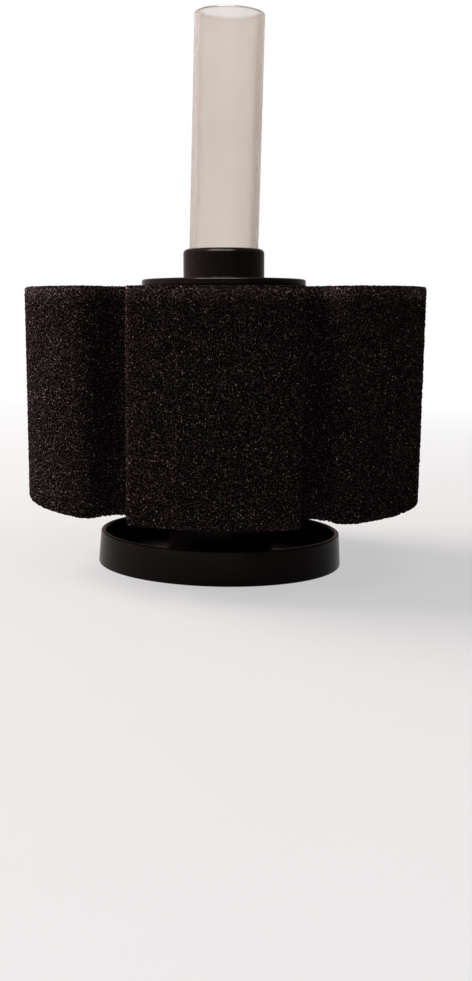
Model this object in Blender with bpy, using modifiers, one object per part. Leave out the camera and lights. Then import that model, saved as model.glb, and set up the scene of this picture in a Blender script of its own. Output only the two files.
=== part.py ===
"""Air-driven sponge filter for an aquarium, modelled as the pieces that it comes apart into.

Units are metres and +Z is up. The origin is the middle of the dish's underside, and Z is the axis of
every round piece. Air let out at the foot of the core rises up the lift tube, and draws water through
the foam and the core's slots.
"""

import math

import bmesh
import bpy
from mathutils import Matrix, Vector

OBJECT_NAME = "sponge_filter"

# Clearance between pieces that touch, and how finely round shapes are divided
GAP = 0.0003
ROUND_STEPS = 48
SMALL_ROUND_STEPS = 24
CORNER_STEPS = 2
MERGE_DISTANCE = 0.00001

# Lift tube
TUBE_RADIUS = 0.0100
TUBE_WALL = 0.0015
TUBE_TOP = 0.1577
TUBE_EDGE_ROUND = 0.0003

# Cap: a flange on top of the foam, a collar that the tube stands in, and a spigot in the core
COLLAR_RADIUS = 0.0118
COLLAR_TOP = 0.0920
COLLAR_EDGE_ROUND = 0.0012
TUBE_SEAT = 0.0806
FLANGE_RADIUS = 0.0239
FLANGE_TOP = 0.0833
FLANGE_THICKNESS = 0.0023
FLANGE_EDGE_ROUND = 0.0005
SPIGOT_LENGTH = 0.0120
SPIGOT_EDGE_ROUND = 0.0004

# Core: a slotted tube with a flange under the foam
CORE_RADIUS = 0.0130
CORE_WALL = 0.0016
CORE_FLANGE_TOP = 0.0196
SLOT_WIDTH = 0.0042
SLOT_HEIGHT = 0.0084
SLOT_COLUMNS = 6
SLOT_ROWS = 4
SLOT_PITCH = 0.0114
LOWEST_SLOT_MIDDLE = 0.0295

# Foam block: lobes on one circle, parted by U-shaped grooves
LOBES = 6
FOAM_RADIUS = 0.0579
GROOVE_BOTTOM_RADIUS = 0.0456
GROOVE_BOTTOM_ROUND = 0.0048
GROOVE_HALF_ANGLE = math.radians(8)
LOBE_CORNER_ROUND = 0.0037
LOBE_FACE_STEPS = 8
FRONT_LOBE_ANGLE = math.radians(-92.4)

# Dish
DISH_FOOT_RADIUS = 0.0362
DISH_RIM_RADIUS = 0.0355
DISH_RIM_TOP = 0.0097
DISH_WALL = 0.0014
DISH_EDGE_ROUND = 0.0005
DISH_FLOOR_TOP = 0.0036
DISH_FLOOR_BOTTOM = 0.0024
HUB_WALL = 0.0019
HUB_TOP = 0.0143

# Ballast chamber under the dish's floor
CHAMBER_RADIUS = 0.0335
COVER_THICKNESS = 0.0009
BALLAST_HOLE_RADIUS = 0.0120

# Air stone in its seat on the dish's floor, and the barbed nipple on top of it
STONE_RADIUS = 0.0070
STONE_HEIGHT = 0.0261
STONE_EDGE_ROUND = 0.0012
STONE_SEAT_WALL = 0.0015
STONE_SEAT_HEIGHT = 0.0040
NIPPLE_FOOT_RADIUS = 0.0040
NIPPLE_FOOT_THICKNESS = 0.0016
NIPPLE_STEM_RADIUS = 0.0018
NIPPLE_BORE_RADIUS = 0.0009
NIPPLE_BARB_RADIUS = 0.0024
NIPPLE_BARB_LENGTH = 0.0024
NIPPLE_BARBS = 2
NIPPLE_HEIGHT = 0.0115

# Heights and radii that follow from those above
FLANGE_BOTTOM = FLANGE_TOP - FLANGE_THICKNESS
TUBE_BOTTOM = TUBE_SEAT + GAP
CORE_TOP = FLANGE_BOTTOM - GAP
CORE_BOTTOM = DISH_FLOOR_TOP + GAP
CORE_FLANGE_BOTTOM = CORE_FLANGE_TOP - FLANGE_THICKNESS
CORE_BORE_RADIUS = CORE_RADIUS - CORE_WALL
SPIGOT_RADIUS = CORE_BORE_RADIUS - GAP
FOAM_BOTTOM = CORE_FLANGE_TOP + GAP
FOAM_TOP = FLANGE_BOTTOM - GAP
FOAM_BORE_RADIUS = CORE_RADIUS + GAP
HUB_BORE_RADIUS = CORE_RADIUS + GAP
STONE_BOTTOM = DISH_FLOOR_TOP + GAP
STONE_SEAT_RADIUS = STONE_RADIUS + GAP
NIPPLE_BOTTOM = STONE_BOTTOM + STONE_HEIGHT + GAP
BALLAST_BOTTOM = COVER_THICKNESS + GAP
BALLAST_TOP = DISH_FLOOR_BOTTOM - GAP


def clear_scene():
    """Removes what the file holds at the start."""
    for thing in list(bpy.data.objects):
        bpy.data.objects.remove(thing, do_unlink=True)


def new_collection(name):
    """A collection of that name in the scene."""
    collection = bpy.data.collections.new(name)
    bpy.context.scene.collection.children.link(collection)
    return collection


def plain_material(name, colour, roughness, metallic=0.0, alpha=1.0):
    """A Principled material in one colour."""
    material = bpy.data.materials.new(name)
    material.use_nodes = True
    shader = material.node_tree.nodes["Principled BSDF"]
    shader.inputs["Base Color"].default_value = (*colour, 1.0)
    shader.inputs["Roughness"].default_value = roughness
    shader.inputs["Metallic"].default_value = metallic
    shader.inputs["Alpha"].default_value = alpha
    return material


def arc(centre, start, end, radius, steps):
    """Points on an arc from the direction start to the direction end, both ends included."""
    return [centre + start.slerp(end, step / steps) * radius for step in range(steps + 1)]


def rounded(corners, closed):
    """Points of a profile, from its (radius, height, rounding) corners."""
    points = []
    count = len(corners)
    for index, (radius, height, rounding) in enumerate(corners):
        corner = Vector((radius, height))
        on_axis = not closed and index in (0, count - 1)
        if on_axis or rounding == 0:
            points.append(corner)
            continue
        back = (Vector(corners[index - 1][:2]) - corner).normalized()
        ahead = (Vector(corners[(index + 1) % count][:2]) - corner).normalized()
        half_angle = back.angle(ahead) / 2
        centre = corner + (back + ahead).normalized() * rounding / math.sin(half_angle)
        setback = rounding / math.tan(half_angle)
        start = corner + back * setback - centre
        end = corner + ahead * setback - centre
        points += arc(centre, start, end, rounding, CORNER_STEPS)
    return points


def turned(name, corners, closed, steps=ROUND_STEPS):
    """A piece turned about Z from a profile that runs from its top down its outer side.

    A ring has a closed profile, and any other piece has one that starts and ends on the axis.
    """
    points = rounded(corners, closed)
    edges = [(index, index + 1) for index in range(len(points) - 1)]
    if closed:
        edges.append((len(points) - 1, 0))
    mesh = bpy.data.meshes.new(name)
    mesh.from_pydata([(point.x, 0, point.y) for point in points], edges, [])
    piece = bpy.data.objects.new(name, mesh)
    screw = piece.modifiers.new("turn", "SCREW")
    screw.axis = "Z"
    screw.steps = steps
    screw.render_steps = steps
    screw.use_merge_vertices = True
    screw.merge_threshold = MERGE_DISTANCE
    screw.use_smooth_shade = True
    return piece


def flat_outline(name, outlines, thickness):
    """A slab of that thickness, halved by its own XY plane, whose edges are closed outlines."""
    curve = bpy.data.curves.new(name, "CURVE")
    curve.dimensions = "2D"
    curve.fill_mode = "BOTH"
    curve.extrude = thickness / 2
    for outline in outlines:
        spline = curve.splines.new("POLY")
        spline.points.add(len(outline) - 1)
        spline.use_cyclic_u = True
        for point, place in zip(spline.points, outline):
            point.co = (place.x, place.y, 0, 1)
    return bpy.data.objects.new(name, curve)


def groove_side():
    """One side of a groove, from its bottom to the lobe's face, as (across, outward) points."""
    along_flank = Vector((math.sin(GROOVE_HALF_ANGLE), math.cos(GROOVE_HALF_ANGLE)))
    into_foam = Vector((math.cos(GROOVE_HALF_ANGLE), -math.sin(GROOVE_HALF_ANGLE)))
    bottom_centre = Vector((0, GROOVE_BOTTOM_RADIUS + GROOVE_BOTTOM_ROUND))
    points = arc(bottom_centre, Vector((0, -1)), into_foam, GROOVE_BOTTOM_ROUND, CORNER_STEPS)

    # The lobe's corner touches the flank and, from inside, the circle of the lobes' faces.
    lowest_centre = points[-1] + into_foam * LOBE_CORNER_ROUND
    centre_radius = FOAM_RADIUS - LOBE_CORNER_ROUND
    ahead = lowest_centre.dot(along_flank)
    climb = math.sqrt(ahead**2 - lowest_centre.length_squared + centre_radius**2) - ahead
    corner_centre = lowest_centre + along_flank * climb
    points += arc(
        corner_centre, -into_foam, corner_centre.normalized(), LOBE_CORNER_ROUND, 2 * CORNER_STEPS
    )
    return points


def lobed_outline():
    """The foam's outer outline, once round, starting at a groove beside the front lobe."""
    side = groove_side()
    pitch = math.tau / LOBES
    face_start = math.atan2(side[-1].x, side[-1].y)
    face_step = (pitch - 2 * face_start) / LOBE_FACE_STEPS
    outline = []
    for lobe in range(LOBES):
        groove = FRONT_LOBE_ANGLE + (lobe - 0.5) * pitch
        outward = Vector((math.cos(groove), math.sin(groove)))
        across = Vector((-math.sin(groove), math.cos(groove)))
        outline += [outward * point.y - across * point.x for point in reversed(side[1:])]
        outline += [outward * point.y + across * point.x for point in side]
        for step in range(1, LOBE_FACE_STEPS):
            angle = groove + face_start + step * face_step
            outline.append(Vector((math.cos(angle), math.sin(angle))) * FOAM_RADIUS)
    return outline


def circle_outline(radius, steps):
    """A circle about the origin."""
    angles = [math.tau * step / steps for step in range(steps)]
    return [Vector((math.cos(angle), math.sin(angle))) * radius for angle in angles]


def make_base_dish():
    """The dish: its rim, its floor, the hub that the core plugs into, and the stone's seat."""
    seat_outside = STONE_SEAT_RADIUS + STONE_SEAT_WALL
    seat_top = DISH_FLOOR_TOP + STONE_SEAT_HEIGHT
    hub_outside = HUB_BORE_RADIUS + HUB_WALL
    corners = [
        (0, DISH_FLOOR_TOP, 0),
        (STONE_SEAT_RADIUS, DISH_FLOOR_TOP, 0),
        (STONE_SEAT_RADIUS, seat_top, 0),
        (seat_outside, seat_top, 0),
        (seat_outside, DISH_FLOOR_TOP, 0),
        (HUB_BORE_RADIUS, DISH_FLOOR_TOP, 0),
        (HUB_BORE_RADIUS, HUB_TOP, 0),
        (hub_outside, HUB_TOP, DISH_EDGE_ROUND),
        (hub_outside, DISH_FLOOR_TOP, 0),
        (DISH_FOOT_RADIUS - DISH_WALL, DISH_FLOOR_TOP, DISH_EDGE_ROUND),
        (DISH_RIM_RADIUS - DISH_WALL, DISH_RIM_TOP, DISH_EDGE_ROUND),
        (DISH_RIM_RADIUS, DISH_RIM_TOP, DISH_EDGE_ROUND),
        (DISH_FOOT_RADIUS, 0, DISH_EDGE_ROUND),
        (CHAMBER_RADIUS, 0, 0),
        (CHAMBER_RADIUS, DISH_FLOOR_BOTTOM, 0),
        (0, DISH_FLOOR_BOTTOM, 0),
    ]
    return turned("base_dish", corners, closed=False)


def make_base_cover():
    """The plate that closes the ballast chamber, flush with the foot of the dish."""
    radius = CHAMBER_RADIUS - GAP
    corners = [
        (0, COVER_THICKNESS, 0),
        (radius, COVER_THICKNESS, 0),
        (radius, 0, 0),
        (0, 0, 0),
    ]
    return turned("base_cover", corners, closed=False)


def make_ballast_ring():
    """The steel ring in the chamber."""
    outside = CHAMBER_RADIUS - 3 * GAP
    height = BALLAST_TOP - BALLAST_BOTTOM
    corners = [
        (outside, height, 0),
        (outside, 0, 0),
        (BALLAST_HOLE_RADIUS, 0, 0),
        (BALLAST_HOLE_RADIUS, height, 0),
    ]
    return turned("ballast_ring", corners, closed=True)


def make_air_stone():
    """The porous stone."""
    corners = [
        (0, STONE_HEIGHT, 0),
        (STONE_RADIUS, STONE_HEIGHT, STONE_EDGE_ROUND),
        (STONE_RADIUS, 0, STONE_EDGE_ROUND),
        (0, 0, 0),
    ]
    return turned("air_stone", corners, closed=False, steps=SMALL_ROUND_STEPS)


def make_air_nipple():
    """The barbed nipple, bored right through."""
    corners = []
    for barb in range(NIPPLE_BARBS):
        barb_top = NIPPLE_HEIGHT - barb * NIPPLE_BARB_LENGTH
        corners.append((NIPPLE_STEM_RADIUS, barb_top, 0))
        corners.append((NIPPLE_BARB_RADIUS, barb_top - NIPPLE_BARB_LENGTH, 0))
    corners += [
        (NIPPLE_STEM_RADIUS, NIPPLE_HEIGHT - NIPPLE_BARBS * NIPPLE_BARB_LENGTH, 0),
        (NIPPLE_STEM_RADIUS, NIPPLE_FOOT_THICKNESS, 0),
        (NIPPLE_FOOT_RADIUS, NIPPLE_FOOT_THICKNESS, 0),
        (NIPPLE_FOOT_RADIUS, 0, 0),
        (NIPPLE_BORE_RADIUS, 0, 0),
        (NIPPLE_BORE_RADIUS, NIPPLE_HEIGHT, 0),
    ]
    return turned("air_nipple", corners, closed=True, steps=SMALL_ROUND_STEPS)


def make_slot_cutter(collection):
    """Boxes through the core's wall, in rows and columns, measured from the core's lower end."""
    boxes = bmesh.new()
    wall_middle = CORE_RADIUS - CORE_WALL / 2
    size = Matrix.Diagonal((3 * CORE_WALL, SLOT_WIDTH, SLOT_HEIGHT, 1))
    for row in range(SLOT_ROWS):
        height = LOWEST_SLOT_MIDDLE + row * SLOT_PITCH - CORE_BOTTOM
        for column in range(SLOT_COLUMNS):
            turn = Matrix.Rotation(math.tau * column / SLOT_COLUMNS, 4, "Z")
            shift = Matrix.Translation((wall_middle, 0, height))
            bmesh.ops.create_cube(boxes, size=1, matrix=turn @ shift @ size)
    mesh = bpy.data.meshes.new("slot_cutter")
    boxes.to_mesh(mesh)
    boxes.free()
    cutter = bpy.data.objects.new("slot_cutter", mesh)
    cutter.hide_render = True
    cutter.display_type = "WIRE"
    collection.objects.link(cutter)
    return cutter


def make_strainer_core(cutter):
    """The slotted tube with the flange that carries the foam."""
    length = CORE_TOP - CORE_BOTTOM
    flange_top = CORE_FLANGE_TOP - CORE_BOTTOM
    flange_bottom = CORE_FLANGE_BOTTOM - CORE_BOTTOM
    corners = [
        (CORE_RADIUS, length, 0),
        (CORE_RADIUS, flange_top, 0),
        (FLANGE_RADIUS, flange_top, FLANGE_EDGE_ROUND),
        (FLANGE_RADIUS, flange_bottom, FLANGE_EDGE_ROUND),
        (CORE_RADIUS, flange_bottom, 0),
        (CORE_RADIUS, 0, 0),
        (CORE_BORE_RADIUS, 0, 0),
        (CORE_BORE_RADIUS, length, 0),
    ]
    core = turned("strainer_core", corners, closed=True)
    cut = core.modifiers.new("slots", "BOOLEAN")
    cut.operation = "DIFFERENCE"
    cut.solver = "EXACT"
    cut.object = cutter
    cutter.parent = core
    return core


def make_sponge():
    """The foam block, bored for the core."""
    outlines = [lobed_outline(), circle_outline(FOAM_BORE_RADIUS, ROUND_STEPS)]
    return flat_outline("sponge", outlines, FOAM_TOP - FOAM_BOTTOM)


def make_top_cap():
    """The cap, measured from the underside of its flange."""
    socket_radius = TUBE_RADIUS + GAP
    passage_radius = TUBE_RADIUS - TUBE_WALL
    collar_top = COLLAR_TOP - FLANGE_BOTTOM
    seat = TUBE_SEAT - FLANGE_BOTTOM
    corners = [
        (COLLAR_RADIUS, collar_top, COLLAR_EDGE_ROUND),
        (COLLAR_RADIUS, FLANGE_THICKNESS, 0),
        (FLANGE_RADIUS, FLANGE_THICKNESS, FLANGE_EDGE_ROUND),
        (FLANGE_RADIUS, 0, FLANGE_EDGE_ROUND),
        (SPIGOT_RADIUS, 0, 0),
        (SPIGOT_RADIUS, -SPIGOT_LENGTH, SPIGOT_EDGE_ROUND),
        (passage_radius, -SPIGOT_LENGTH, 0),
        (passage_radius, seat, 0),
        (socket_radius, seat, 0),
        (socket_radius, collar_top, TUBE_EDGE_ROUND),
    ]
    return turned("top_cap", corners, closed=True)


def make_lift_tube():
    """The tube, measured from its lower end."""
    length = TUBE_TOP - TUBE_BOTTOM
    bore_radius = TUBE_RADIUS - TUBE_WALL
    corners = [
        (TUBE_RADIUS, length, TUBE_EDGE_ROUND),
        (TUBE_RADIUS, 0, TUBE_EDGE_ROUND),
        (bore_radius, 0, TUBE_EDGE_ROUND),
        (bore_radius, length, TUBE_EDGE_ROUND),
    ]
    return turned("lift_tube", corners, closed=True)


def place(piece, height, material, collection, carrier=None):
    """Puts a piece on the axis with its own zero at that height, carried by another piece."""
    collection.objects.link(piece)
    piece.data.materials.append(material)
    piece.location.z = height
    if carrier:
        piece.parent = carrier
        piece.location.z -= carrier.matrix_world.translation.z
    bpy.context.view_layer.update()


def main():
    clear_scene()
    parts = new_collection(OBJECT_NAME)
    cutters = new_collection("cutters")

    black_plastic = plain_material("black_plastic", (0.012, 0.009, 0.009), 0.25)
    core_plastic = plain_material("core_plastic", (0.015, 0.013, 0.013), 0.45)
    cover_plastic = plain_material("cover_plastic", (0.013, 0.011, 0.011), 0.40)
    foam = plain_material("foam", (0.016, 0.013, 0.012), 0.95)
    milky_plastic = plain_material("milky_plastic", (0.78, 0.74, 0.70), 0.40, alpha=0.6)
    steel = plain_material("steel", (0.45, 0.45, 0.46), 0.35, metallic=1.0)
    stone = plain_material("stone", (0.32, 0.34, 0.36), 0.90)
    nipple_plastic = plain_material("nipple_plastic", (0.60, 0.61, 0.62), 0.40)

    base_dish = make_base_dish()
    place(base_dish, 0, black_plastic, parts)
    place(make_base_cover(), 0, cover_plastic, parts, base_dish)
    place(make_ballast_ring(), BALLAST_BOTTOM, steel, parts, base_dish)
    air_stone = make_air_stone()
    place(air_stone, STONE_BOTTOM, stone, parts, base_dish)
    place(make_air_nipple(), NIPPLE_BOTTOM, nipple_plastic, parts, air_stone)

    strainer_core = make_strainer_core(make_slot_cutter(cutters))
    place(strainer_core, CORE_BOTTOM, core_plastic, parts, base_dish)
    place(make_sponge(), (FOAM_BOTTOM + FOAM_TOP) / 2, foam, parts, strainer_core)
    top_cap = make_top_cap()
    place(top_cap, FLANGE_BOTTOM, black_plastic, parts, strainer_core)
    place(make_lift_tube(), TUBE_BOTTOM, milky_plastic, parts, top_cap)


main()
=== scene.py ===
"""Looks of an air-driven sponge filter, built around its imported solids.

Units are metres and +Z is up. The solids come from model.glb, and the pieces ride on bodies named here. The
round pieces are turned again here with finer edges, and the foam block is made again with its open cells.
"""

import itertools
import math

import bmesh
import bpy
import numpy as np
from mathutils import Matrix, Vector, kdtree


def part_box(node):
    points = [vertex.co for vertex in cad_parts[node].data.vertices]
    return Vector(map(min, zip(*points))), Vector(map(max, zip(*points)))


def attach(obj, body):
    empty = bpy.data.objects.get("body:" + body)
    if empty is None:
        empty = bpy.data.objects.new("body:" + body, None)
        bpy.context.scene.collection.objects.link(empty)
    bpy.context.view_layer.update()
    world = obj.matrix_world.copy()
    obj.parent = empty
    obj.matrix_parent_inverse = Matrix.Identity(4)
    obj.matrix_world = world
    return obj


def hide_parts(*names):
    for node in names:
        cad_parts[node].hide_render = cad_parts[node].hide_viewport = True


# Camera, as fitted to the photograph
IMAGE_HEIGHT = 981
FOCAL_PIXELS = 1200
SENSOR_MM = 36
CAMERA_PLACE = (0.00465, -0.3553, 0.0726)
CAMERA_PITCH = math.radians(8.19)
CAMERA_ROLL = math.radians(1.32)

# How finely round shapes are divided
TURN_STEPS = 144
SMALL_TURN_STEPS = 64
CORNER_STEPS = 6
SHARP_ANGLE = math.radians(35)

# How the dish, the cap and the tube sit in their loose fits, with the foam tilted along with the cap
DISH_MOVE = (0.0002, 0, 0)
CAP_TILT = math.radians(1.31)
CAP_MOVE = (-0.00025, 0, 0.00018)
TUBE_TILT = math.radians(-0.27)
TUBE_MOVE = (-0.00055, 0, 0)
SOCKET_GAP = 0.0004
SEAT_GAP = 0.0006

# Lift tube
TUBE_WALL = 0.0015
TUBE_EDGE_ROUND = 0.0003
DARK_TOP_BAND_DEPTH = 0.0006

# Cap
COLLAR_RADIUS = 0.0118
COLLAR_EDGE_ROUND = 0.0013
COLLAR_FOOT_ROUND = 0.0006
TUBE_SEAT = 0.0806
FLANGE_TOP = 0.0833
FLANGE_THICKNESS = 0.0023
FLANGE_EDGE_ROUND = 0.0006
SPIGOT_RADIUS = 0.0110
SPIGOT_EDGE_ROUND = 0.0004

# Core
CORE_RADIUS = 0.0130
CORE_WALL = 0.0016
CORE_EDGE_ROUND = 0.0003
CORE_FLANGE_TOP = 0.0196
SLOT_WIDTH = 0.0042
SLOT_HEIGHT = 0.0084
SLOT_COLUMNS = 6
SLOT_ROWS = 4
SLOT_PITCH = 0.0114
LOWEST_SLOT_MIDDLE = 0.0295

# Dish
DISH_RIM_RADIUS = 0.0355
DISH_RIM_TOP = 0.0097
DISH_WALL = 0.0014
DISH_EDGE_ROUND = 0.0005
DISH_FLOOR_TOP = 0.0036
DISH_FLOOR_BOTTOM = 0.0024
CHAMBER_RADIUS = 0.0335
HUB_BORE_RADIUS = 0.0133
HUB_WALL = 0.0019
STONE_SEAT_RADIUS = 0.0073
STONE_SEAT_WALL = 0.0015
STONE_SEAT_HEIGHT = 0.0040

# Cover, stone and nipple
COVER_EDGE_ROUND = 0.0003
STONE_EDGE_ROUND = 0.0012
NIPPLE_FOOT_RADIUS = 0.0040
NIPPLE_FOOT_THICKNESS = 0.0016
NIPPLE_STEM_RADIUS = 0.0018
NIPPLE_BORE_RADIUS = 0.0009
NIPPLE_BARB_RADIUS = 0.0024
NIPPLE_BARB_LENGTH = 0.0024
NIPPLE_BARBS = 2
NIPPLE_EDGE_ROUND = 0.0002

# Foam block
LOBES = 6
GROOVE_BOTTOM_RADIUS = 0.0456
GROOVE_BOTTOM_ROUND = 0.0048
GROOVE_HALF_ANGLE = math.radians(8)
LOBE_CORNER_ROUND = 0.0037
LOBE_FACE_STEPS = 40
GROOVE_ARC_STEPS = 14
FRONT_LOBE_ANGLE = math.radians(-92.4)
FOAM_RADIUS = 0.0579
FOAM_BORE_RADIUS = 0.0133
FOAM_EDGE_ROUND = 0.0008
FOAM_GRID = 0.00034

# How the soft block sits: pressed in under the flange, its foot drawn right and in, and its front low
TOP_SHIFT = 0.0004
FOOT_SHIFT = 0.0012
FOOT_DRAW_IN = 0.0006
FOOT_TILT = math.radians(0.4)
FOOT_SAG = 0.00025
FRONT_DROP = 0.0004
FLANGE_GRIP_RADIUS = 0.0245
PRESS_DEPTH = 0.0005
PRESS_SLOPE = 0.0030
LOOSE_RADIUS = 0.0400

# Open cells of the foam
CELL_SIZE = 0.00105
CELL_DISORDER = 0.9
CELL_DEPTH = 0.00066
SHALLOWEST_CELL = 0.5
STRUT_HALF_WIDTH = 0.02
CELL_BOWL_WIDTH = 0.20
STRUT_STAND_OUT = 0.00022
SEED = 20261
AXIS_PRIMES = (0x8DA6B343, 0xD8163841, 0xCB1AB31F)
MIX_FACTORS = (0x7FEB352D, 0x846CA68B)

# Light from above through the cells below the foam's upper edge, painted paler into its colour: its reach,
# its gain and where it fades
PAINTED_EDGE_LIGHT_DEPTH = 0.0045
PAINTED_EDGE_LIGHT_GAIN = 3.2
PAINTED_EDGE_LIGHT_FACING = 0.4

# Flat layout of the foam's faces
OUTLINE_STEP = 0.0001
LAYOUT_COLUMNS = 3
LAYOUT_GUTTER = 0.002
FACING_UP = 0.7

# Colours, as shares of the light that they give back. A pair is a darker and a paler colour.
BLACK_PLASTIC = (0.0090, 0.0065, 0.0063), (0.0130, 0.0093, 0.0089)
DUST = (0.26, 0.23, 0.20)
MILKY_PLASTIC = (0.762, 0.719, 0.683), (0.792, 0.749, 0.713)
MILKY_CLOUD = (0.738, 0.693, 0.656)
DARK_TOP_BAND = (0.50, 0.475, 0.455)
# For the foam: the paler struts and the glints are painted highlights, and the near black inside its cells is
# painted shade
FOAM_STRUTS_AND_PAINTED_GLINTS = (0.046, 0.033, 0.033), (0.270, 0.192, 0.194)
FOAM_PAINTED_CELL_SHADE = (0.0036, 0.0026, 0.0026), (0.0072, 0.0052, 0.0052)
FOAM_PAINTED_GLINT = (0.95, 0.80, 0.78)
CORE_PLASTIC = (0.006, 0.005, 0.005), (0.012, 0.010, 0.010)
COVER_PLASTIC = (0.006, 0.005, 0.005), (0.011, 0.009, 0.009)
NIPPLE_PLASTIC = (0.56, 0.57, 0.58), (0.64, 0.65, 0.66)
STONE_GRAINS = (0.20, 0.215, 0.235), (0.42, 0.44, 0.46)
STONE_PORE_SHADE = (0.10, 0.105, 0.115)
STEEL = (0.36, 0.36, 0.37), (0.50, 0.50, 0.51)
PALE_FLOOR = (0.41, 0.41, 0.405), (0.43, 0.43, 0.425)
WHITE = (1, 1, 1, 1)

# Floor, whose white shows in part near the object and in full farther away
FLOOR_RADIUS = 4.0
FLOOR_SIDES = 96
FLOOR_WHITE_START = 0.08
FLOOR_WHITE_END = 0.70
FLOOR_WHITE_NEAR = 0.52

# Surroundings: the light that they cast, their white as it shows, and the point that the lamps face
WORLD_LIGHT = 0.07
WORLD_SHOWN = 1.0
LAMP_TARGET = (0, 0, 0.06)

# Cards that stand round the object and show only in gloss or through clear plastic
CARD_RADIUS = 2.0
TALL_CARD_HEIGHTS = (0, 1.6)
LOW_CARD_HEIGHTS = (0, 0.2)
HIGH_CARD_HEIGHTS = (0.2, 1.6)
STRIP_HEIGHTS = (1.8, 4.0)
CARD_STEPS = 48


def smooth_step(value, low, high):
    """0 below low and 1 above high, with an even rise between them."""
    share = np.clip((value - low) / (high - low), 0, 1)
    return share * share * (3 - 2 * share)


def arc(centre, start, end, radius, steps):
    """Points on an arc from the direction start to the direction end, both ends included."""
    return [centre + start.slerp(end, step / steps) * radius for step in range(steps + 1)]


def rounded(corners, closed):
    """Points of a profile, from its (radius, height, rounding) corners."""
    points = []
    count = len(corners)
    for index, (radius, height, rounding) in enumerate(corners):
        corner = Vector((radius, height))
        on_axis = not closed and index in (0, count - 1)
        if on_axis or rounding == 0:
            points.append(corner)
            continue
        back = (Vector(corners[index - 1][:2]) - corner).normalized()
        ahead = (Vector(corners[(index + 1) % count][:2]) - corner).normalized()
        half_angle = back.angle(ahead) / 2
        centre = corner + (back + ahead).normalized() * rounding / math.sin(half_angle)
        setback = rounding / math.tan(half_angle)
        start = corner + back * setback - centre
        end = corner + ahead * setback - centre
        points += arc(centre, start, end, rounding, CORNER_STEPS)
    return points


def turned(name, corners, closed, steps=TURN_STEPS):
    """A piece turned about Z from a profile that runs from its top down its outer side."""
    profile = rounded(corners, closed)
    angles = [math.tau * step / steps for step in range(steps)]
    mesh = bmesh.new()
    rings = [
        [mesh.verts.new((p.x * math.cos(a), p.x * math.sin(a), p.y)) for a in angles]
        for p in profile
    ]
    pairs = list(zip(rings, rings[1:]))
    if closed:
        pairs.append((rings[-1], rings[0]))
    for upper, lower in pairs:
        for step in range(steps):
            after = (step + 1) % steps
            mesh.faces.new((upper[step], lower[step], lower[after], upper[after]))
    bmesh.ops.remove_doubles(mesh, verts=mesh.verts, dist=1e-7)
    return new_piece(name, mesh)


def new_piece(name, mesh):
    """An object in the scene from a bmesh, shaded smooth except at sharp edges."""
    data = bpy.data.meshes.new(name)
    mesh.to_mesh(data)
    mesh.free()
    data.shade_smooth()
    data.set_sharp_from_angle(angle=SHARP_ANGLE)
    piece = bpy.data.objects.new(name, data)
    bpy.context.scene.collection.objects.link(piece)
    return piece


def settle_modifiers(piece):
    """Turns a piece's modifiers into plain mesh."""
    evaluated = piece.evaluated_get(bpy.context.evaluated_depsgraph_get())
    mesh = bpy.data.meshes.new_from_object(evaluated)
    piece.modifiers.clear()
    piece.data = mesh


def lean(piece, height, tilt, move):
    """Tilts a piece, right side up, about a point of the axis at that height, and moves it."""
    pivot = Matrix.Translation((0, 0, height))
    turn = Matrix.Rotation(-tilt, 4, "Y")
    piece.data.transform(Matrix.Translation(move) @ pivot @ turn @ pivot.inverted())


def stand_for(piece, node, body, material):
    """Puts a finished piece in the place of a CAD node."""
    piece.data.materials.clear()
    piece.data.materials.append(material)
    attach(piece, body)
    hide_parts(node)


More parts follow.
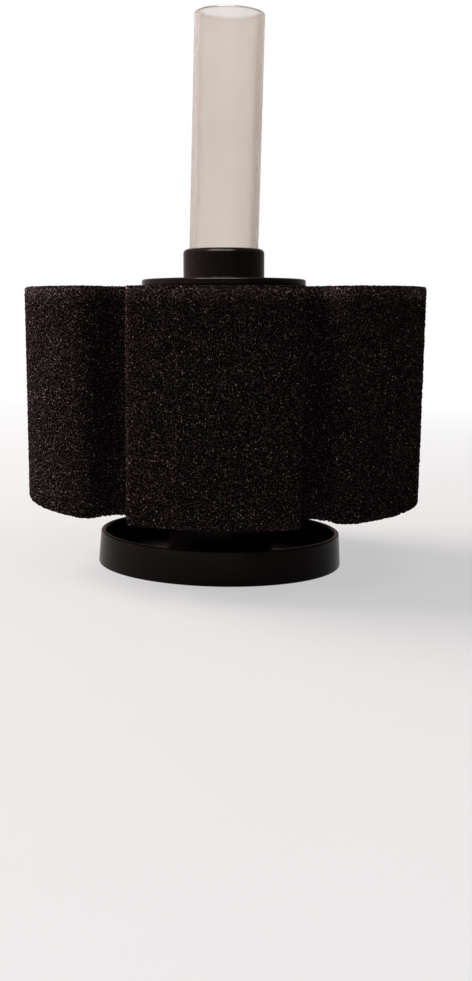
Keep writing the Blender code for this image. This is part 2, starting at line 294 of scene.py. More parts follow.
class Finish:
    """A procedural material in the making: a Principled shader and the nodes that feed it."""

    def __init__(self, name, **settings):
        self.material = bpy.data.materials.new(name)
        self.material.use_nodes = True
        self.tree = self.material.node_tree
        self.shader = self.tree.nodes["Principled BSDF"]
        self.place = self.add("ShaderNodeTexCoord").outputs["Object"]
        for socket, value in settings.items():
            self.shader.inputs[socket.replace("_", " ")].default_value = value

    def add(self, kind, inputs=None, **settings):
        """A node with its settings, and its inputs set to a value or linked to a socket."""
        node = self.tree.nodes.new(kind)
        for key, value in settings.items():
            setattr(node, key, value)
        for socket, value in (inputs or {}).items():
            if isinstance(value, bpy.types.NodeSocket):
                self.tree.links.new(value, node.inputs[socket])
            else:
                node.inputs[socket].default_value = value
        return node

    def stretched(self, scale):
        """Object coordinates stretched by a scale along each axis."""
        return self.add("ShaderNodeMapping", {"Vector": self.place, "Scale": scale}).outputs[0]

    def attribute(self, name):
        """A number stored at each point of the mesh."""
        return self.add("ShaderNodeAttribute", attribute_name=name).outputs["Fac"]

    def noise(self, scale, detail=4, place=None):
        """Noise from 0 to 1, with features about 1 / scale metres wide."""
        inputs = {"Vector": place or self.place, "Scale": scale, "Detail": detail}
        return self.add("ShaderNodeTexNoise", inputs).outputs[0]

    def cells(self, scale):
        """Cells about 1 / scale metres wide: the distance from each one's point, and a random number."""
        node = self.add("ShaderNodeTexVoronoi", {"Vector": self.place, "Scale": scale})
        random = self.add("ShaderNodeSeparateColor", {0: node.outputs["Color"]}).outputs[0]
        return node.outputs["Distance"], random

    def cell_walls(self, scale):
        """The distance from the walls between the same cells."""
        inputs = {"Vector": self.place, "Scale": scale}
        return self.add("ShaderNodeTexVoronoi", inputs, feature="DISTANCE_TO_EDGE").outputs[0]

    def ramp(self, value, low, high, to_low=0.0, to_high=1.0):
        """A value carried from one range to another, and held at its ends."""
        inputs = {"Value": value, 1: low, 2: high, 3: to_low, 4: to_high}
        return self.add("ShaderNodeMapRange", inputs).outputs[0]

    def math(self, operation, first, second):
        """Two numbers joined by an operation."""
        return self.add("ShaderNodeMath", {0: first, 1: second}, operation=operation).outputs[0]

    def mix(self, share, first, second):
        """A colour between two others."""
        colours = [c if isinstance(c, bpy.types.NodeSocket) else (*c, 1) for c in (first, second)]
        inputs = {0: share, 6: colours[0], 7: colours[1]}
        return self.add("ShaderNodeMix", inputs, data_type="RGBA").outputs[2]

    def scaled(self, colour, factor):
        """A colour made brighter by a factor."""
        inputs = {0: colour, "Scale": factor}
        return self.add("ShaderNodeVectorMath", inputs, operation="SCALE").outputs[0]

    def bump(self, height, depth, under=None):
        """A surface normal raised by a height from 0 to 1, over another bump."""
        inputs = {"Height": height, "Distance": depth, "Strength": 1.0}
        if under:
            inputs["Normal"] = under
        return self.add("ShaderNodeBump", inputs).outputs[0]

    def feed(self, **sockets):
        """Links nodes to the shader, and gives the finished material."""
        for name, value in sockets.items():
            self.tree.links.new(value, self.shader.inputs[name.replace("_", " ")])
        return self.material


def gloss_plastic():
    """Moulded black plastic, glossy, with faint smears and a little dust."""
    finish = Finish("gloss_black_plastic", Specular_IOR_Level=0.028, IOR=1.5)
    colour = finish.mix(finish.noise(140, 3), *BLACK_PLASTIC)
    distance, random = finish.cells(330)
    speck = finish.ramp(distance, 0.03, 0.08, 1.0, 0.0)
    chosen = finish.ramp(random, 0.90, 0.93)
    dust = finish.math("MULTIPLY", finish.math("MULTIPLY", speck, chosen), 0.45)
    colour = finish.mix(dust, colour, DUST)
    smear = finish.ramp(finish.noise(60, 5), 0.35, 0.75, 0.15, 0.28)
    rough = finish.math("ADD", smear, finish.math("MULTIPLY", dust, 0.5))
    wave = finish.bump(finish.noise(90, 2), 0.00006)
    grain = finish.bump(finish.noise(2600, 2), 0.000006, wave)
    return finish.feed(Base_Color=colour, Roughness=rough, Normal=grain)


def satin_plastic(name, colours, rough, depth):
    """Moulded plastic with a fine spark-eroded grain."""
    finish = Finish(name, Specular_IOR_Level=0.35)
    colour = finish.mix(finish.noise(180, 4), *colours)
    roughness = finish.ramp(finish.noise(420, 3), 0.3, 0.7, rough - 0.07, rough + 0.07)
    grain = finish.bump(finish.noise(3200, 3), depth)
    return finish.feed(Base_Color=colour, Roughness=roughness, Normal=grain)


def milky_plastic():
    """Extruded tube: milky, half clear, with faint streaks along it and a darker band along its top end."""
    finish = Finish("milky_plastic", IOR=1.35, Transmission_Weight=0.96, Specular_IOR_Level=0.06)
    streak = finish.noise(1.0, 3, finish.stretched((420, 420, 9)))
    cloud = finish.noise(45, 3)
    pale = finish.mix(streak, *MILKY_PLASTIC)
    colour = finish.mix(finish.ramp(cloud, 0.3, 0.8, 0.0, 0.35), pale, MILKY_CLOUD)
    # A darker band along the tube's top end
    height = finish.add("ShaderNodeSeparateXYZ", {0: finish.place}).outputs["Z"]
    tube_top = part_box("lift_tube")[1].z
    cut = finish.ramp(height, tube_top - DARK_TOP_BAND_DEPTH, tube_top - DARK_TOP_BAND_DEPTH / 2)
    colour = finish.mix(cut, colour, DARK_TOP_BAND)
    rough = finish.ramp(finish.noise(260, 4), 0.3, 0.7, 0.17, 0.25)
    normal = finish.bump(streak, 0.000008)
    return finish.feed(Base_Color=colour, Roughness=rough, Normal=normal)


def foam_finish():
    """Black open-cell foam with painted light: painted shade in its cells, painted highlights on its struts,
    and painted light below its top.
    """
    finish = Finish("open_cell_foam", Specular_IOR_Level=0.0)
    pit = finish.attribute("cell_depth")
    web = finish.ramp(finish.cell_walls(1150), 0.01, 0.09, 1.0, 0.0)
    # Painted shade: struts down in the cells' hollows are darker, and between the struts the foam is painted
    # near black, as shade deep in its open cells
    lit = finish.math("MULTIPLY", web, finish.ramp(pit, 0.0, 1.0, 1.0, 0.6))
    # Painted highlights: random fragments of the struts are painted pale, as glints of light
    spark = finish.ramp(finish.noise(2400, 2), 0.50, 0.68)
    strut = finish.mix(spark, *FOAM_STRUTS_AND_PAINTED_GLINTS)
    inside = finish.mix(finish.noise(300, 3), *FOAM_PAINTED_CELL_SHADE)
    colour = finish.mix(lit, inside, strut)
    # Painted light: below the upper edge the colour is made several times paler, standing in for light from
    # above
    glow = finish.ramp(finish.attribute("painted_edge_light"), 0.0, 1.0, 1.0, PAINTED_EDGE_LIGHT_GAIN)
    colour = finish.scaled(colour, glow)
    # Painted highlights: sparse bright dots, as glints of light on the struts
    distance, random = finish.cells(1500)
    dot = finish.ramp(distance, 0.09, 0.24, 1.0, 0.0)
    painted_glint = finish.math("MULTIPLY", dot, finish.ramp(random, 0.7, 1.0))
    colour = finish.mix(painted_glint, colour, FOAM_PAINTED_GLINT)
    rough = finish.ramp(lit, 0.0, 1.0, 0.90, 0.38)
    normal = finish.bump(web, 0.00010)
    return finish.feed(Base_Color=colour, Roughness=rough, Normal=normal)


def stone_finish():
    """Sintered mineral grains of an air stone."""
    finish = Finish("sintered_stone", Specular_IOR_Level=0.3)
    distance, random = finish.cells(2200)
    colour = finish.mix(random, *STONE_GRAINS)
    # Painted shade: the pores between the grains are darker
    colour = finish.mix(finish.ramp(distance, 0.35, 0.75), colour, STONE_PORE_SHADE)
    rough = finish.ramp(finish.noise(900, 2), 0.3, 0.7, 0.80, 0.98)
    normal = finish.bump(distance, -0.00018)
    return finish.feed(Base_Color=colour, Roughness=rough, Normal=normal)


def steel_finish():
    """Bare rolled steel with a fine brushed lay."""
    finish = Finish("bare_steel", Metallic=1.0)
    lay = finish.noise(1.0, 4, finish.stretched((60, 2400, 2400)))
    colour = finish.mix(lay, *STEEL)
    rough = finish.ramp(lay, 0.3, 0.7, 0.28, 0.45)
    return finish.feed(Base_Color=colour, Roughness=rough, Normal=finish.bump(lay, 0.00001))


def make_lift_tube(material):
    """The tube, with eased ends."""
    low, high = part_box("lift_tube")
    bore = high.x - TUBE_WALL
    corners = [
        (high.x, high.z, TUBE_EDGE_ROUND),
        (high.x, low.z, TUBE_EDGE_ROUND),
        (bore, low.z, TUBE_EDGE_ROUND),
        (bore, high.z, TUBE_EDGE_ROUND),
    ]
    tube = turned("tube_wall", corners, True)
    lean(tube, low.z, TUBE_TILT, TUBE_MOVE)
    stand_for(tube, "lift_tube", "tube", material)


def make_top_cap(material):
    """The cap, with a fillet at the collar's foot."""
    low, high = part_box("top_cap")
    tube_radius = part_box("lift_tube")[1].x
    passage = tube_radius - TUBE_WALL
    socket = tube_radius + SOCKET_GAP
    seat = TUBE_SEAT - SEAT_GAP
    flange_bottom = FLANGE_TOP - FLANGE_THICKNESS
    corners = [
        (COLLAR_RADIUS, high.z, COLLAR_EDGE_ROUND),
        (COLLAR_RADIUS, FLANGE_TOP, COLLAR_FOOT_ROUND),
        (high.x, FLANGE_TOP, FLANGE_EDGE_ROUND),
        (high.x, flange_bottom, FLANGE_EDGE_ROUND),
        (SPIGOT_RADIUS, flange_bottom, 0),
        (SPIGOT_RADIUS, low.z, SPIGOT_EDGE_ROUND),
        (passage, low.z, 0),
        (passage, seat, 0),
        (socket, seat, 0),
        (socket, high.z, TUBE_EDGE_ROUND),
    ]
    cap = turned("cap_moulding", corners, True)
    lean(cap, flange_bottom, CAP_TILT, CAP_MOVE)
    stand_for(cap, "top_cap", "cap", material)


def slot_cutter():
    """Boxes through the core's wall, in rows and columns."""
    boxes = bmesh.new()
    wall_middle = CORE_RADIUS - CORE_WALL / 2
    size = Matrix.Diagonal((3 * CORE_WALL, SLOT_WIDTH, SLOT_HEIGHT, 1))
    for row, column in itertools.product(range(SLOT_ROWS), range(SLOT_COLUMNS)):
        turn = Matrix.Rotation(math.tau * column / SLOT_COLUMNS, 4, "Z")
        shift = Matrix.Translation((wall_middle, 0, LOWEST_SLOT_MIDDLE + row * SLOT_PITCH))
        bmesh.ops.create_cube(boxes, size=1, matrix=turn @ shift @ size)
    return new_piece("slot_cutter", boxes)


def make_strainer_core(material):
    """The slotted tube with the flange that carries the foam."""
    low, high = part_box("strainer_core")
    bore = CORE_RADIUS - CORE_WALL
    flange_bottom = CORE_FLANGE_TOP - FLANGE_THICKNESS
    corners = [
        (CORE_RADIUS, high.z, CORE_EDGE_ROUND),
        (CORE_RADIUS, CORE_FLANGE_TOP, 0),
        (high.x, CORE_FLANGE_TOP, FLANGE_EDGE_ROUND),
        (high.x, flange_bottom, FLANGE_EDGE_ROUND),
        (CORE_RADIUS, flange_bottom, 0),
        (CORE_RADIUS, low.z, CORE_EDGE_ROUND),
        (bore, low.z, CORE_EDGE_ROUND),
        (bore, high.z, CORE_EDGE_ROUND),
    ]
    core = turned("core_moulding", corners, True)
    cutter = slot_cutter()
    cut = core.modifiers.new("slots", "BOOLEAN")
    cut.operation = "DIFFERENCE"
    cut.solver = "EXACT"
    cut.object = cutter
    settle_modifiers(core)
    bpy.data.objects.remove(cutter, do_unlink=True)
    core.data.set_sharp_from_angle(angle=SHARP_ANGLE)
    stand_for(core, "strainer_core", "core", material)


def make_base_dish(material):
    """The dish, with eased edges."""
    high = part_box("base_dish")[1]
    seat_outside = STONE_SEAT_RADIUS + STONE_SEAT_WALL
    seat_top = DISH_FLOOR_TOP + STONE_SEAT_HEIGHT
    hub_outside = HUB_BORE_RADIUS + HUB_WALL
    ease = DISH_EDGE_ROUND
    corners = [
        (0, DISH_FLOOR_TOP, 0),
        (STONE_SEAT_RADIUS, DISH_FLOOR_TOP, 0),
        (STONE_SEAT_RADIUS, seat_top, ease),
        (seat_outside, seat_top, ease),
        (seat_outside, DISH_FLOOR_TOP, ease),
        (HUB_BORE_RADIUS, DISH_FLOOR_TOP, ease),
        (HUB_BORE_RADIUS, high.z, ease),
        (hub_outside, high.z, ease),
        (hub_outside, DISH_FLOOR_TOP, 2 * ease),
        (high.x - DISH_WALL, DISH_FLOOR_TOP, 2 * ease),
        (DISH_RIM_RADIUS - DISH_WALL, DISH_RIM_TOP, ease),
        (DISH_RIM_RADIUS, DISH_RIM_TOP, ease),
        (high.x, 0, ease),
        (CHAMBER_RADIUS, 0, 0),
        (CHAMBER_RADIUS, DISH_FLOOR_BOTTOM, 0),
        (0, DISH_FLOOR_BOTTOM, 0),
    ]
    dish = turned("dish_moulding", corners, False)
    lean(dish, 0, 0, DISH_MOVE)
    stand_for(dish, "base_dish", "base", material)


def make_base_cover(material):
    """The plate under the dish, with eased edges."""
    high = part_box("base_cover")[1]
    corners = [
        (0, high.z, 0),
        (high.x, high.z, COVER_EDGE_ROUND),
        (high.x, 0, COVER_EDGE_ROUND),
        (0, 0, 0),
    ]
    stand_for(turned("cover_plate", corners, False), "base_cover", "base", material)


def make_air_stone(material):
    """The porous stone."""
    low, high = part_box("air_stone")
    corners = [
        (0, high.z, 0),
        (high.x, high.z, STONE_EDGE_ROUND),
        (high.x, low.z, STONE_EDGE_ROUND),
        (0, low.z, 0),
    ]
    stone = turned("stone_body", corners, False, SMALL_TURN_STEPS)
    stand_for(stone, "air_stone", "base", material)


def make_air_nipple(material):
    """The barbed nipple, bored right through."""
    low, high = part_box("air_nipple")
    ease = NIPPLE_EDGE_ROUND
    corners = []
    for barb in range(NIPPLE_BARBS):
        barb_top = high.z - barb * NIPPLE_BARB_LENGTH
        corners.append((NIPPLE_STEM_RADIUS, barb_top, ease if barb == 0 else 0))
        corners.append((NIPPLE_BARB_RADIUS, barb_top - NIPPLE_BARB_LENGTH, ease))
    corners += [
        (NIPPLE_STEM_RADIUS, high.z - NIPPLE_BARBS * NIPPLE_BARB_LENGTH, ease),
        (NIPPLE_STEM_RADIUS, low.z + NIPPLE_FOOT_THICKNESS, ease),
        (NIPPLE_FOOT_RADIUS, low.z + NIPPLE_FOOT_THICKNESS, ease),
        (NIPPLE_FOOT_RADIUS, low.z, ease),
        (NIPPLE_BORE_RADIUS, low.z, ease),
        (NIPPLE_BORE_RADIUS, high.z, ease),
    ]
    nipple = turned("nipple_moulding", corners, True, SMALL_TURN_STEPS)
    stand_for(nipple, "air_nipple", "base", material)


def finish_ballast_ring(ring, material):
    """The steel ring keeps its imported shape, as it never shows."""
    ring.data.materials.clear()
    ring.data.materials.append(material)


def groove_side():
    """One side of a groove, from its bottom to the lobe's face, as (across, outward) points."""
    along_flank = Vector((math.sin(GROOVE_HALF_ANGLE), math.cos(GROOVE_HALF_ANGLE)))
    into_foam = Vector((math.cos(GROOVE_HALF_ANGLE), -math.sin(GROOVE_HALF_ANGLE)))
    bottom_centre = Vector((0, GROOVE_BOTTOM_RADIUS + GROOVE_BOTTOM_ROUND))
    points = arc(bottom_centre, Vector((0, -1)), into_foam, GROOVE_BOTTOM_ROUND, GROOVE_ARC_STEPS)

    # The lobe's corner touches the flank and, from inside, the circle of the lobes' faces.
    lowest_centre = points[-1] + into_foam * LOBE_CORNER_ROUND
    centre_radius = FOAM_RADIUS - LOBE_CORNER_ROUND
    ahead = lowest_centre.dot(along_flank)
    climb = math.sqrt(ahead**2 - lowest_centre.length_squared + centre_radius**2) - ahead
    corner_centre = lowest_centre + along_flank * climb
    outward = corner_centre.normalized()
    points += arc(corner_centre, -into_foam, outward, LOBE_CORNER_ROUND, GROOVE_ARC_STEPS)
    return points


def lobed_outline():
    """The foam's outer outline, once round, starting at a groove beside the front lobe."""
    side = groove_side()
    pitch = math.tau / LOBES
    face_start = math.atan2(side[-1].x, side[-1].y)
    face_step = (pitch - 2 * face_start) / LOBE_FACE_STEPS
    outline = []
    for lobe in range(LOBES):
        groove = FRONT_LOBE_ANGLE + (lobe - 0.5) * pitch
        outward = Vector((math.cos(groove), math.sin(groove)))
        across = Vector((-math.sin(groove), math.cos(groove)))
        outline += [outward * point.y - across * point.x for point in reversed(side[1:])]
        outline += [outward * point.y + across * point.x for point in side]
        for step in range(1, LOBE_FACE_STEPS):
            angle = groove + face_start + step * face_step
            outline.append(Vector((math.cos(angle), math.sin(angle))) * FOAM_RADIUS)
    return outline


def foam_prism(outline, bottom, top):
    """The block with plain faces, bored for the core."""
    mesh = bmesh.new()
    count = len(outline)
    bore = [point.normalized() * FOAM_BORE_RADIUS for point in outline]
    along = [outline[(index + 1) % count] - outline[index - 1] for index in range(count)]
    inward = [Vector((-step.y, step.x)).normalized() * FOAM_EDGE_ROUND for step in along]
    rings = []
    for step in range(CORNER_STEPS + 1):
        turn = math.pi / 2 * step / CORNER_STEPS
        eased = [point + move * (1 - math.sin(turn)) for point, move in zip(outline, inward)]
        rings.append((eased, FOAM_EDGE_ROUND * (1 - math.cos(turn))))
    levels = [(ring, top - fall) for ring, fall in rings]
    levels += [(ring, bottom + fall) for ring, fall in reversed(rings)]
    levels += [(bore, bottom), (bore, top)]
    loops = [[mesh.verts.new((p.x, p.y, height)) for p in ring] for ring, height in levels]
    for upper, lower in zip(loops, loops[1:] + loops[:1]):
        for index in range(count):
            after = (index + 1) % count
            mesh.faces.new((upper[index], lower[index], lower[after], upper[after]))
    return new_piece("sponge_foam", mesh)


def even_grid(piece):
    """Gives a piece a mesh of even small faces."""
    grid = piece.modifiers.new("grid", "REMESH")
    grid.mode = "VOXEL"
    grid.voxel_size = FOAM_GRID
    settle_modifiers(piece)
    piece.data.shade_smooth()


def read_points(items, name):
    """The three numbers of that name of each mesh item, as rows."""
    values = np.empty(len(items) * 3, np.float32)
    items.foreach_get(name, values)
    return values.reshape(-1, 3).astype(float)


def read_numbers(items, name):
    """The whole number of that name of each mesh item."""
    values = np.empty(len(items), np.int32)
    items.foreach_get(name, values)
    return values


def hashed(cells):
    """Three even random numbers from 0 to 1 for each cell of whole numbers."""
    whole = cells.astype(np.int64).astype(np.uint32)
    mixed = np.full(len(whole), SEED, np.uint32)
    for axis, prime in enumerate(AXIS_PRIMES):
        mixed ^= whole[:, axis] * np.uint32(prime)
    numbers = []
    for _ in range(3):
        for factor, shift in zip(MIX_FACTORS, (16, 15)):
            mixed ^= mixed >> np.uint32(shift)
            mixed *= np.uint32(factor)
        mixed ^= mixed >> np.uint32(16)
        numbers.append(mixed / 2**32)
    return np.stack(numbers, axis=1)


def foam_cells(points):
    """For each point, how far in cell sizes it is from its cell's wall, and its cell's random numbers."""
    scaled = points / CELL_SIZE
    home = np.floor(scaled)
    near = np.full(len(points), np.inf)
    far = near.copy()
    near_centre = np.zeros_like(scaled)
    far_centre = np.zeros_like(scaled)
    own = np.zeros_like(scaled)
    for step in itertools.product((-1, 0, 1), repeat=3):
        cell = home + step
        random = hashed(cell)
        centre = cell + 0.5 + CELL_DISORDER * (random - 0.5)
        distance = ((centre - scaled) ** 2).sum(axis=1)
        first = distance < near
        second = ~first & (distance < far)
        far[first] = near[first]
        far_centre[first] = near_centre[first]
        near[first] = distance[first]
        near_centre[first] = centre[first]
        own[first] = random[first]
        far[second] = distance[second]
        far_centre[second] = centre[second]
    apart = np.linalg.norm(far_centre - near_centre, axis=1)
    return (far - near) / (2 * apart), own


def settled(points, bottom, top):
    """Points of the block moved to where the soft block sits on the real filter."""
    moved = points.copy()
    sideways = points[:, 0]
    radius = np.linalg.norm(points[:, :2], axis=1)
    share = (points[:, 2] - bottom) / (top - bottom)
    loose = smooth_step(radius, FLANGE_GRIP_RADIUS, LOOSE_RADIUS)
    moved[:, 0] += loose * (FOOT_SHIFT + share * (TOP_SHIFT - FOOT_SHIFT))
    moved[:, 0] -= loose * (1 - share) * FOOT_DRAW_IN * (sideways / FOAM_RADIUS) ** 3
    outside = smooth_step(radius, FLANGE_GRIP_RADIUS, FLANGE_GRIP_RADIUS + PRESS_SLOPE)
    moved[:, 2] += share * (outside * math.tan(CAP_TILT) * sideways - (1 - outside) * PRESS_DEPTH)
    moved[:, 2] += loose * (1 - share) * (math.tan(FOOT_TILT) * sideways - FOOT_SAG)
    moved[:, 2] += loose * FRONT_DROP * (sideways**2 - points[:, 1] ** 2) / FOAM_RADIUS**2
    return moved


def length_along(outline, points):
    """For each point, the length along the outline to the nearest place on it, and the whole length."""
    corners = np.array([*outline, outline[0]])
    lengths = np.concatenate([[0], np.cumsum(np.linalg.norm(np.diff(corners, axis=0), axis=1))])
    samples = np.arange(0, lengths[-1], OUTLINE_STEP)
    tree = kdtree.KDTree(len(samples))
    for index, length in enumerate(samples):
        place = [np.interp(length, lengths, corners[:, axis]) for axis in (0, 1)]
        tree.insert((*place, 0), index)
    tree.balance()
    nearest = [tree.find((x, y, 0))[1] for x, y in points[:, :2]]
    return samples[nearest], lengths[-1]


def lay_flat(mesh, outline, bottom, top):
    """Gives each face of the block a place on a flat layout: the wall in strips, the two ends, the bore."""
    points = read_points(mesh.vertices, "co")
    facing = read_points(mesh.polygon_normals, "vector")[:, 2]
    middle = read_points(mesh.polygons, "center")
    vertex = read_numbers(mesh.loops, "vertex_index")
    face = np.repeat(np.arange(len(facing)), read_numbers(mesh.polygons, "loop_total"))
    first = vertex[read_numbers(mesh.polygons, "loop_start")]
    corner = points[vertex]
    height = top - bottom
    across = 2 * FOAM_RADIUS

    along, whole = length_along(outline, points)
    start = along[first]
    step = (along[vertex] - start[face] + whole / 2) % whole - whole / 2
    strip_width = whole / LOBES
    strip = np.minimum(start // strip_width, LOBES - 1)
    wall_u = (start - strip * strip_width)[face] + step
    wall_u += (strip % LAYOUT_COLUMNS)[face] * (strip_width + 2 * LAYOUT_GUTTER)
    wall_v = corner[:, 2] - bottom + (strip // LAYOUT_COLUMNS)[face] * (height + LAYOUT_GUTTER)
    flat = np.stack([wall_u, wall_v], axis=1)

    ends_v = LOBES // LAYOUT_COLUMNS * (height + LAYOUT_GUTTER) + across / 2
    upper = (facing > FACING_UP)[face]
    lower = (facing < -FACING_UP)[face]
    flat[upper] = corner[upper, :2] + (across / 2, ends_v)
    flat[lower] = corner[lower, :2] * (-1, 1) + (1.5 * across + LAYOUT_GUTTER, ends_v)

    angle = np.arctan2(points[:, 1], points[:, 0])
    turn = (angle[vertex] - angle[first][face] + math.pi) % math.tau - math.pi + angle[first][face]
    inner = (np.linalg.norm(middle[:, :2], axis=1) < 2 * FOAM_BORE_RADIUS)[face] & ~upper & ~lower
    bore_u = (math.pi - turn) * FOAM_BORE_RADIUS
    bore_v = corner[:, 2] - bottom + ends_v + across / 2 + LAYOUT_GUTTER
    flat[inner] = np.stack([bore_u, bore_v], axis=1)[inner]

    flat += LAYOUT_GUTTER
    layout = mesh.uv_layers.new(name="OFBake")
    layout.uv.foreach_set("vector", (flat / (flat.max() + LAYOUT_GUTTER)).astype(np.float32).ravel())


def make_sponge(material):
    """The foam block: lobes and grooves, open cells all over, and its own slight lean."""
    low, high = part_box("sponge")
    outline = lobed_outline()
    sponge = foam_prism(outline, low.z, high.z)
    even_grid(sponge)
    mesh = sponge.data
    lay_flat(mesh, outline, low.z, high.z)
    points = read_points(mesh.vertices, "co")
    normals = read_points(mesh.vertex_normals, "vector")
    wall, own = foam_cells(points)
    bowl = smooth_step(wall, STRUT_HALF_WIDTH, CELL_BOWL_WIDTH)
    depth = CELL_DEPTH * (SHALLOWEST_CELL + (1 - SHALLOWEST_CELL) * own[:, 0])
    rise = STRUT_STAND_OUT * own[:, 1] * (1 - bowl) - depth * bowl
    shaped = settled(points, low.z, high.z) + normals * rise[:, None]
    mesh.vertices.foreach_set("co", shaped.astype(np.float32).ravel())
    # Where light is painted into the foam's colour: just below its upper edge, fading on faces that turn up
    painted_edge_light = smooth_step(points[:, 2], high.z - PAINTED_EDGE_LIGHT_DEPTH, high.z)
    painted_edge_light *= 1 - smooth_step(normals[:, 2], PAINTED_EDGE_LIGHT_FACING, FACING_UP)
    for name, values in (("cell_depth", bowl), ("painted_edge_light", painted_edge_light)):
        attribute = mesh.attributes.new(name, "FLOAT", "POINT")
        attribute.data.foreach_set("value", values.astype(np.float32))
    mesh.update()
    stand_for(sponge, "sponge", "foam", material)


def shown_rays(tree):
    """1 for what the camera sees, in gloss and through clear plastic too, and 0 for light that is cast."""
    path = tree.nodes.new("ShaderNodeLightPath")
    shown = path.outputs["Is Camera Ray"]
    for ray in ("Is Glossy Ray", "Is Transmission Ray"):
        either = tree.nodes.new("ShaderNodeMath")
        either.operation = "MAXIMUM"
        tree.links.new(shown, either.inputs[0])
        tree.links.new(path.outputs[ray], either.inputs[1])
        shown = either.outputs[0]
    return shown


def make_floor():
    """A wide pale floor that runs out into the white background."""
    bpy.ops.mesh.primitive_circle_add(vertices=FLOOR_SIDES, radius=FLOOR_RADIUS, fill_type="NGON")
    floor = bpy.context.object
    floor.name = "floor"
    finish = Finish("pale_floor", Roughness=0.8, Specular_IOR_Level=0.1)
    colour = finish.mix(finish.noise(30, 2), *PALE_FLOOR)
    finish.feed(Base_Color=colour)
    tree = finish.tree
    away = finish.add("ShaderNodeVectorMath", {0: finish.place}, operation="LENGTH").outputs["Value"]
    white = finish.ramp(away, FLOOR_WHITE_START, FLOOR_WHITE_END, FLOOR_WHITE_NEAR, 1.0)
    share = finish.math("MULTIPLY", shown_rays(tree), white)
    glow = finish.add("ShaderNodeEmission", {"Color": WHITE, "Strength": 1.0})
    blend = finish.add("ShaderNodeMixShader", {0: share})
    tree.links.new(finish.shader.outputs[0], blend.inputs[1])
    tree.links.new(glow.outputs[0], blend.inputs[2])
    tree.links.new(blend.outputs[0], tree.nodes["Material Output"].inputs["Surface"])
    floor.data.materials.append(finish.material)


def make_card(name, start, end, heights, colour, through=False):
    """A curved card between two directions and two heights, seen in gloss and perhaps through the tube."""
    mesh = bmesh.new()
    angles = [math.radians(start + (end - start) * step / CARD_STEPS) for step in range(CARD_STEPS + 1)]
    low, high = [
        [mesh.verts.new((CARD_RADIUS * math.cos(a), CARD_RADIUS * math.sin(a), height)) for a in angles]
        for height in heights
    ]
    for step in range(CARD_STEPS):
        mesh.faces.new((low[step], low[step + 1], high[step + 1], high[step]))
    card = new_piece(name, mesh)
    finish = Finish(name)
    glow = finish.add("ShaderNodeEmission", {"Color": (*colour, 1), "Strength": 1.0})
    finish.tree.links.new(glow.outputs[0], finish.tree.nodes["Material Output"].inputs["Surface"])
    card.data.materials.append(finish.material)
    card.visible_camera = False
    card.visible_diffuse = False
    card.visible_transmission = through
    card.visible_shadow = False


def make_lamp(name, place, size, power, colour):
    """A soft square lamp aimed at the object, which doesn't show in gloss or through clear plastic."""
    data = bpy.data.lights.new(name, "AREA")
    data.size = size
    data.energy = power
    data.color = colour
    lamp = bpy.data.objects.new(name, data)
    lamp.location = place
    lamp.rotation_euler = (Vector(LAMP_TARGET) - Vector(place)).to_track_quat("-Z", "Y").to_euler()
    lamp.visible_glossy = False
    lamp.visible_transmission = False
    bpy.context.scene.collection.objects.link(lamp)


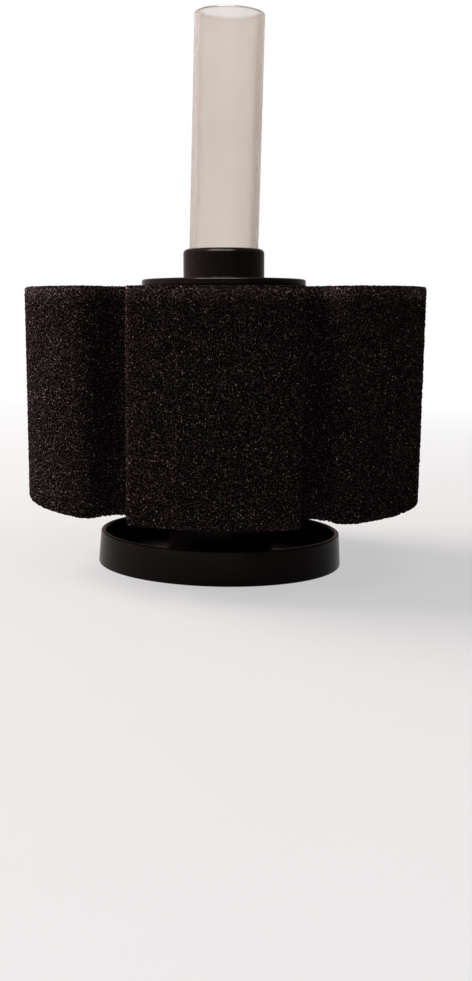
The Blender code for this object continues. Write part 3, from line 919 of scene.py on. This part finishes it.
def make_light():
    """White surroundings, soft lamps, the strongest at the left, and cards for gloss and the tube's edges."""
    world = bpy.data.worlds.new("studio")
    bpy.context.scene.world = world
    world.use_nodes = True
    nodes = world.node_tree.nodes
    links = world.node_tree.links
    strength = nodes.new("ShaderNodeMapRange")
    strength.inputs["To Min"].default_value = WORLD_LIGHT
    strength.inputs["To Max"].default_value = WORLD_SHOWN
    links.new(shown_rays(world.node_tree), strength.inputs["Value"])
    links.new(strength.outputs[0], nodes["Background"].inputs["Strength"])
    nodes["Background"].inputs["Color"].default_value = WHITE

    make_lamp("key_lamp", (-1.00, 0.30, 0.70), 1.00, 42.0, (1.0, 0.89, 0.90))
    make_lamp("top_lamp", (0.10, -0.25, 1.20), 0.60, 2.0, (1.0, 0.96, 0.92))
    make_lamp("right_lamp", (1.00, 0.30, 0.50), 0.60, 1.5, (1.0, 0.96, 0.96))
    make_lamp("front_lamp", (-0.40, -1.00, 0.40), 0.60, 1.0, (1.0, 0.96, 0.96))
    make_card("right_card", -65, 15, TALL_CARD_HEIGHTS, (0.60, 0.45, 0.44))
    make_card("edge_card", 15, 75, TALL_CARD_HEIGHTS, (0.55, 0.49, 0.44), through=True)
    make_card("back_card", 75, 105, TALL_CARD_HEIGHTS, (0.56, 0.41, 0.40))
    make_card("far_left_card", 105, 165, TALL_CARD_HEIGHTS, (0.80, 0.73, 0.71), through=True)
    make_card("left_card", 165, 295, HIGH_CARD_HEIGHTS, (0.75, 0.56, 0.55))
    make_card("low_left_card", 165, 295, LOW_CARD_HEIGHTS, (3.20, 2.35, 2.30))
    make_card("strip_card", 215, 300, STRIP_HEIGHTS, (115, 104, 96))


def make_camera():
    """The camera of the photograph."""
    data = bpy.data.cameras.new("camera")
    data.sensor_fit = "AUTO"
    data.sensor_width = SENSOR_MM
    data.lens = FOCAL_PIXELS * SENSOR_MM / IMAGE_HEIGHT
    camera = bpy.data.objects.new("camera", data)
    tilt = Matrix.Rotation(math.pi / 2 - CAMERA_PITCH, 4, "X")
    roll = Matrix.Rotation(CAMERA_ROLL, 4, "Z")
    camera.matrix_world = Matrix.Translation(CAMERA_PLACE) @ tilt @ roll
    bpy.context.scene.collection.objects.link(camera)
    bpy.context.scene.camera = camera


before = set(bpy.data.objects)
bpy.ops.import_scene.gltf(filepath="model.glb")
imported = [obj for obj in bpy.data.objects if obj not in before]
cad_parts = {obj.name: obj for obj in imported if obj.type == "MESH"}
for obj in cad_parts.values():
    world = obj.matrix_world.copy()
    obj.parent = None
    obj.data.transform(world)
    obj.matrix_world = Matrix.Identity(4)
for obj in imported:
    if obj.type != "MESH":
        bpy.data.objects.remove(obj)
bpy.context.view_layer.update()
bpy.context.scene.view_settings.view_transform = "Standard"
make_camera()
make_light()
make_floor()

black = gloss_plastic()
make_base_dish(black)
make_top_cap(black)
make_lift_tube(milky_plastic())
make_sponge(foam_finish())
make_strainer_core(satin_plastic("core_plastic", CORE_PLASTIC, 0.45, 0.000012))
make_base_cover(satin_plastic("cover_plastic", COVER_PLASTIC, 0.50, 0.00002))
make_air_nipple(satin_plastic("nipple_plastic", NIPPLE_PLASTIC, 0.40, 0.00001))
make_air_stone(stone_finish())
finish_ballast_ring(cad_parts["ballast_ring"], steel_finish())
